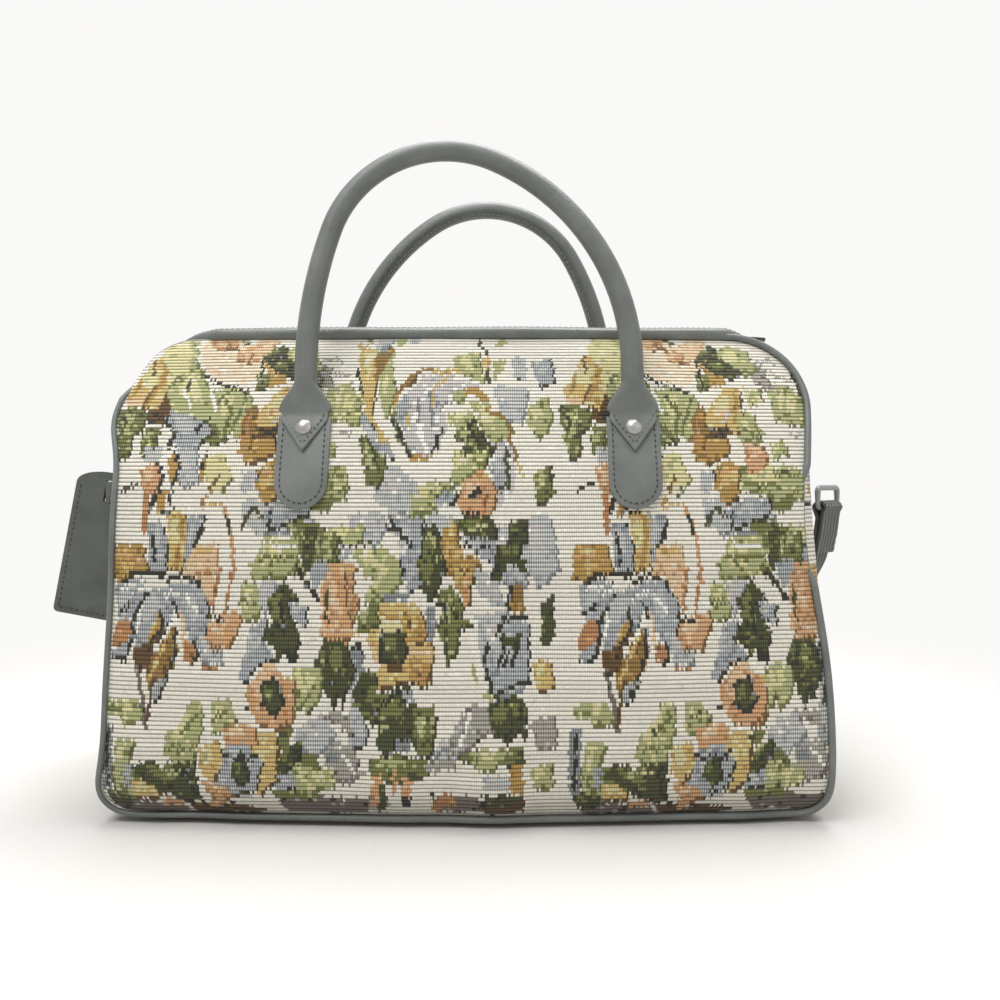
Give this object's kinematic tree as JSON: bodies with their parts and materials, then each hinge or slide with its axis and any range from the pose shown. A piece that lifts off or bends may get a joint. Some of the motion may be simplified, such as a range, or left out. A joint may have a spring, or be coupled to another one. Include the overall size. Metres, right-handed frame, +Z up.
{
  "type": "carpet bag",
  "caption": "Soft tapestry travel bag with piped seams, zip top, rolled vinyl carrying handles on riveted tabs, strap rings at the sides and a luggage tag.",
  "frame": {"origin": "centre of the flat base, on the surface that the bag stands on", "axes": "+Z up, +X along the zip towards the end where it closes, -Y towards the front panel"},
  "size_m": [0.5052, 0.196, 0.3916],
  "materials": {
    "tapestry": "ribbed floral tapestry weave in cream, sage, ochre, peach and blue-grey",
    "vinyl": "grey grained vinyl, satin",
    "tag_vinyl": "dark grey grained vinyl, matt",
    "handle_core": "foam cord, hidden",
    "webbing": "grey ribbed webbing",
    "zip_tape": "dark grey woven tape",
    "zip_teeth": "dark nylon coil",
    "zip_metal": "dark enamelled zinc",
    "rivet_metal": "polished nickel",
    "ring_plastic": "grey moulded plastic",
    "board": "plain hardboard, hidden"
  },
  "bodies": {
    "bag": {"front_panel": "tapestry", "back_panel": "tapestry", "left_gusset": "tapestry", "right_gusset": "tapestry", "base_panel": "tapestry", "base_board": "board", "front_piping": "vinyl", "back_piping": "vinyl", "zip_band_front": "vinyl", "zip_band_back": "vinyl", "zip_tape_front": "zip_tape", "zip_tape_back": "zip_tape", "zip_chain_front": "zip_teeth", "zip_chain_back": "zip_teeth", "zip_end_left": "vinyl", "zip_end_right": "vinyl", "rivet_caps": "rivet_metal", "rivet_backs": "rivet_metal", "right_strap": "webbing", "left_strap": "webbing", "tag_strap": "tag_vinyl", "front_tab_left": "vinyl", "front_tab_right": "vinyl", "back_tab_left": "vinyl", "back_tab_right": "vinyl", "front_tongue_left": "vinyl", "front_tongue_right": "vinyl", "back_tongue_left": "vinyl", "back_tongue_right": "vinyl"},
    "front_handle": {"front_handle_sleeve": "vinyl", "front_handle_core": "handle_core"},
    "back_handle": {"back_handle_sleeve": "vinyl", "back_handle_core": "handle_core"},
    "zip_slider": {"zip_slider": "zip_metal"},
    "zip_pull": {"zip_pull": "zip_metal"},
    "right_ring": {"right_ring": "ring_plastic"},
    "left_ring": {"left_ring": "ring_plastic"},
    "tag": {"tag_cover": "tag_vinyl", "tag_backing": "tag_vinyl"}
  },
  "joints": [
    {"name": "front_handle_fold", "type": "hinge", "parent": "bag", "child": "front_handle", "pos_m": [0, -0.07066, 0.23162], "axis": [1, 0, 0], "range_deg": [-12, 95]},
    {"name": "back_handle_fold", "type": "hinge", "parent": "bag", "child": "back_handle", "pos_m": [0, 0.07066, 0.23162], "axis": [-1, 0, 0], "range_deg": [-12, 95]},
    {"name": "zip_travel", "type": "slide", "parent": "bag", "child": "zip_slider", "axis": [1, 0, 0], "range_m": [-0.29, 0]},
    {"name": "zip_pull_turn", "type": "hinge", "parent": "zip_slider", "child": "zip_pull", "pos_m": [0.152, 0, 0.2854], "axis": [0, -1, 0], "range_deg": [0, 170]},
    {"name": "right_ring_turn", "type": "hinge", "parent": "bag", "child": "right_ring", "pos_m": [0.2309, 0, 0.174], "axis": [0.7071, 0.7071, 0], "range_deg": [-75, 75]},
    {"name": "left_ring_turn", "type": "hinge", "parent": "bag", "child": "left_ring", "pos_m": [-0.2309, 0.004, 0.174], "axis": [0, 1, 0], "range_deg": [-75, 75]},
    {"name": "tag_swing", "type": "hinge", "parent": "bag", "child": "tag", "pos_m": [-0.2277, -0.019, 0.1847], "axis": [0, 1, 0], "range_deg": [0, 18]}
  ]
}
